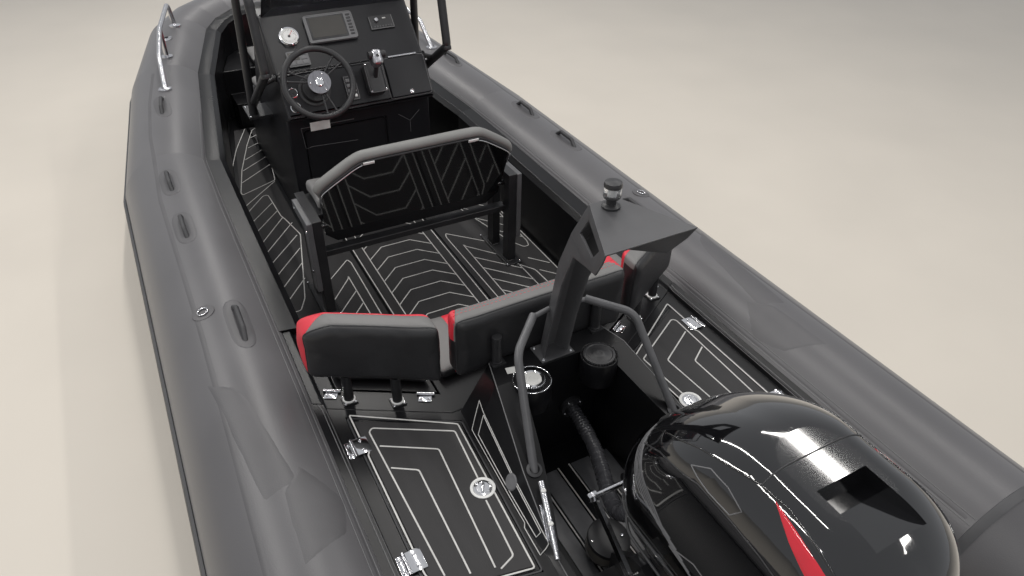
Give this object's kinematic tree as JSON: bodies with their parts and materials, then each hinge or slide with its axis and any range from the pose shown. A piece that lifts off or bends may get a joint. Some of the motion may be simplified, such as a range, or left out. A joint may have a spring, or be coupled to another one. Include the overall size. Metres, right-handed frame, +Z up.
{
  "type": "rigid inflatable boat",
  "caption": "Rigid inflatable boat with V hull, grey tube, steering console, helm seat, lidded aft bench, light mast and a tilting, steering outboard engine.",
  "frame": {"origin": "amidships on the centreline at the waterline", "axes": "+X to starboard, +Y to the bow, +Z up"},
  "size_m": [2.41, 5.9585, 2.405],
  "materials": {
    "tube_fabric": "satin",
    "hull_gelcoat": "gloss",
    "black_gelcoat": "gloss",
    "rubber_black": "matte",
    "deck_pad": "matte",
    "upholstery": "satin",
    "black_metal": "satin",
    "stainless": "polished",
    "chrome": "polished",
    "tinted_screen": "gloss",
    "lens": "gloss",
    "engine_black": "gloss",
    "black_plastic": "satin"
  },
  "bodies": {
    "boat": {"hull": "hull_gelcoat", "deck_liner": "black_gelcoat", "tube_port": "tube_fabric", "tube_starboard": "tube_fabric", "tube_bow": "tube_fabric", "tube_cone_port": "rubber_black", "tube_cone_starboard": "rubber_black", "rub_strake": "rubber_black", "tube_handles": "rubber_black", "bow_rails": "stainless", "bow_eye": "stainless", "cleats": "stainless", "aft_deck": "black_gelcoat", "bench_base": "black_gelcoat", "bench_cushion_centre": "upholstery", "bench_backrest_port": "upholstery", "bench_backrest_starboard": "upholstery", "bench_backrest_centre": "upholstery", "backrest_posts": "stainless", "bow_locker": "black_gelcoat", "floor_pads": "deck_pad", "console_body": "black_gelcoat", "windscreen": "tinted_screen", "console_frame": "black_metal", "chart_plotter": "black_plastic", "dash_panels": "black_plastic", "throttle": "black_plastic", "steering_hub": "black_plastic", "console_cushion": "upholstery", "helm_seat_frame": "black_metal", "helm_side_brackets": "black_metal", "helm_cushion": "upholstery", "helm_backrest": "black_gelcoat", "helm_back_roll": "upholstery", "light_mast": "black_metal", "anchor_light": "lens", "grab_rails": "black_metal", "deck_caps": "black_plastic", "clamp_bracket": "engine_black", "rigging_hose": "rubber_black", "hose_flange": "black_plastic", "lid_hinges": "stainless"},
    "glovebox_lid": {"glovebox_lid": "black_gelcoat"},
    "bench_lid_port": {"bench_lid_port": "black_gelcoat", "bench_cushion_port": "upholstery"},
    "bench_lid_starboard": {"bench_lid_starboard": "black_gelcoat", "bench_cushion_starboard": "upholstery"},
    "hatch_port": {"hatch_lid_port": "black_gelcoat", "hatch_pad_port": "deck_pad"},
    "hatch_starboard": {"hatch_lid_starboard": "black_gelcoat", "hatch_pad_starboard": "deck_pad"},
    "bow_lid": {"bow_lid": "black_gelcoat", "bow_cushion": "upholstery"},
    "steering_wheel": {"steering_wheel": "black_plastic"},
    "tilt_unit": {"swivel_bracket": "engine_black", "steering_rod": "stainless"},
    "steering_cylinder": {"steering_cylinder": "engine_black"},
    "engine": {"outboard_leg": "engine_black", "cowl": "engine_black"},
    "propeller": {"propeller": "black_metal"}
  },
  "joints": [
    {"name": "outboard_tilt", "type": "hinge", "parent": "boat", "child": "tilt_unit", "pos_m": [0, -2.6, 0.465], "axis": [-1, 0, 0], "range_deg": [-4, 60], "deforming": ["rigging_hose"]},
    {"name": "outboard_steering", "type": "hinge", "parent": "tilt_unit", "child": "engine", "pos_m": [0, -2.73, 0.25], "axis": [0, 0, 1], "range_deg": [-30, 30], "deforming": ["rigging_hose"]},
    {"name": "steering_slide", "type": "slide", "parent": "tilt_unit", "child": "steering_cylinder", "axis": [1, 0, 0], "range_m": [-0.0945, 0.0945], "deforming": ["rigging_hose"]},
    {"name": "propeller_spin", "type": "hinge", "parent": "engine", "child": "propeller", "pos_m": [0, -3.05, -0.47], "axis": [0, 1, 0], "continuous": true},
    {"name": "wheel_turn", "type": "hinge", "parent": "boat", "child": "steering_wheel", "pos_m": [-0.22, -0.075, 0.985], "axis": [0, -0.8305, 0.557], "range_deg": [-361, 361]},
    {"name": "glovebox_hinge", "type": "hinge", "parent": "boat", "child": "glovebox_lid", "pos_m": [0.2575, 0.089, 0.994], "axis": [-1, 0, 0], "range_deg": [0, 70]},
    {"name": "hatch_hinge_port", "type": "hinge", "parent": "boat", "child": "hatch_port", "pos_m": [-0.69, -2.063, 0.4863], "axis": [0, -1, 0], "range_deg": [0, 80]},
    {"name": "hatch_hinge_starboard", "type": "hinge", "parent": "boat", "child": "hatch_starboard", "pos_m": [0.69, -2.063, 0.4863], "axis": [0, 1, 0], "range_deg": [0, 80]},
    {"name": "bench_hinge_port", "type": "hinge", "parent": "boat", "child": "bench_lid_port", "pos_m": [-0.7, -1.542, 0.4863], "axis": [0.8682, -0.4961, 0], "range_deg": [0, 30]},
    {"name": "bench_hinge_starboard", "type": "hinge", "parent": "boat", "child": "bench_lid_starboard", "pos_m": [0.7, -1.542, 0.4863], "axis": [0.8682, 0.4961, 0], "range_deg": [0, 30]},
    {"name": "bow_lid_hinge", "type": "hinge", "parent": "boat", "child": "bow_lid", "pos_m": [0, 2.05, 0.4863], "axis": [-1, 0, 0], "range_deg": [0, 80]}
  ],
  "couplings": [
    {"joint": "wheel_turn", "follows": "outboard_steering", "ratio": -12},
    {"joint": "steering_slide", "follows": "outboard_steering", "m_per_rad": -0.18}
  ]
}
